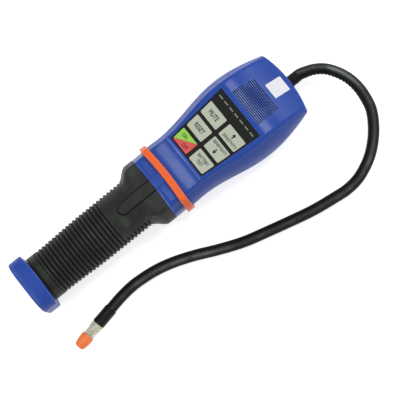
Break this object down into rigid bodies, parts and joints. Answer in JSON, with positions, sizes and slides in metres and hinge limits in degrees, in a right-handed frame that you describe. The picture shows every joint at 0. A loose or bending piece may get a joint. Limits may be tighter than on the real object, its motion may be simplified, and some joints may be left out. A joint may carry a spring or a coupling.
{
  "type": "refrigerant leak detector",
  "caption": "Hand-held refrigerant leak detector with a ribbed grip, keypad, lamp bar, speaker grille and a bendable sensing probe.",
  "frame": {"origin": "middle of the underside of the body without its probe, on the plane it rests on", "axes": "+Y from the battery door to the head, +X to the right of someone who reads the keypad, +Z out of the keypad"},
  "size_m": [0.1166, 0.2665, 0.0522],
  "materials": {
    "housing_blue": "satin moulded",
    "grip_black": "moulded, fine matt",
    "keypad_black": "printed film",
    "key_grey": "printed film",
    "key_green_red": "printed film",
    "lamp_grey": "clear window",
    "screw_steel": "plated",
    "board_green": "solder mask",
    "part_grey": "moulded",
    "motor_steel": "drawn can",
    "hose_clear": "soft tube",
    "band_orange": "moulded",
    "spring_steel": "drawn wire",
    "contact_brass": "plain",
    "cell_wrap": "bare wrap without print",
    "probe_black": "ribbed, black",
    "probe_rubber": "satin",
    "tip_clear": "clear, faintly green",
    "guard_orange": "moulded"
  },
  "bodies": {
    "detector": {"front_shell": "housing_blue", "rear_shell": "housing_blue", "housing_screws": "screw_steel", "keypad_frame": "keypad_black", "signal_lamps": "lamp_grey", "circuit_board": "board_green", "key_switches": "part_grey", "speaker": "part_grey", "pump_motor": "motor_steel", "air_pump": "part_grey", "air_hose": "hose_clear", "colour_band": "band_orange", "collar": "housing_blue", "battery_tube": "grip_black", "grip_sleeve": "grip_black", "contact_plate": "contact_brass", "cell_front": "cell_wrap", "cell_rear": "cell_wrap", "probe_boot": "probe_rubber", "probe_nut": "contact_brass", "gooseneck": "probe_black", "probe_sleeve": "probe_rubber", "sensing_tip": "tip_clear", "sensor_element": "screw_steel"},
    "power_pad": {"key_power": "key_green_red"},
    "reset_pad": {"key_reset": "key_grey"},
    "mute_pad": {"key_mute": "key_grey"},
    "sensitivity_up_pad": {"key_sensitivity_up": "key_grey"},
    "sensitivity_down_pad": {"key_sensitivity_down": "key_grey"},
    "battery_test_pad": {"key_battery_test": "key_grey"},
    "battery_door": {"battery_cap": "housing_blue", "contact_spring": "spring_steel"},
    "guard": {"tip_guard": "guard_orange"}
  },
  "joints": [
    {"name": "power_press", "type": "slide", "parent": "detector", "child": "power_pad", "axis": [0, 0.0872, -0.9962], "range_m": [0, 0.0004], "stiffness_N_per_m": 500},
    {"name": "reset_press", "type": "slide", "parent": "detector", "child": "reset_pad", "axis": [0, 0.0872, -0.9962], "range_m": [0, 0.0004], "stiffness_N_per_m": 500},
    {"name": "mute_press", "type": "slide", "parent": "detector", "child": "mute_pad", "axis": [0, 0.0872, -0.9962], "range_m": [0, 0.0004], "stiffness_N_per_m": 500},
    {"name": "sensitivity_up_press", "type": "slide", "parent": "detector", "child": "sensitivity_up_pad", "axis": [0, 0.0872, -0.9962], "range_m": [0, 0.0004], "stiffness_N_per_m": 500},
    {"name": "sensitivity_down_press", "type": "slide", "parent": "detector", "child": "sensitivity_down_pad", "axis": [0, 0.0872, -0.9962], "range_m": [0, 0.0004], "stiffness_N_per_m": 500},
    {"name": "battery_test_press", "type": "slide", "parent": "detector", "child": "battery_test_pad", "axis": [0, 0.0872, -0.9962], "range_m": [0, 0.0004], "stiffness_N_per_m": 500},
    {"name": "battery_door_pull", "type": "slide", "parent": "detector", "child": "battery_door", "axis": [0, -1, 0], "range_m": [0, 0.028]},
    {"name": "guard_pull", "type": "slide", "parent": "detector", "child": "guard", "axis": [0.1908, -0.9816, 0], "range_m": [0, 0.012]}
  ]
}
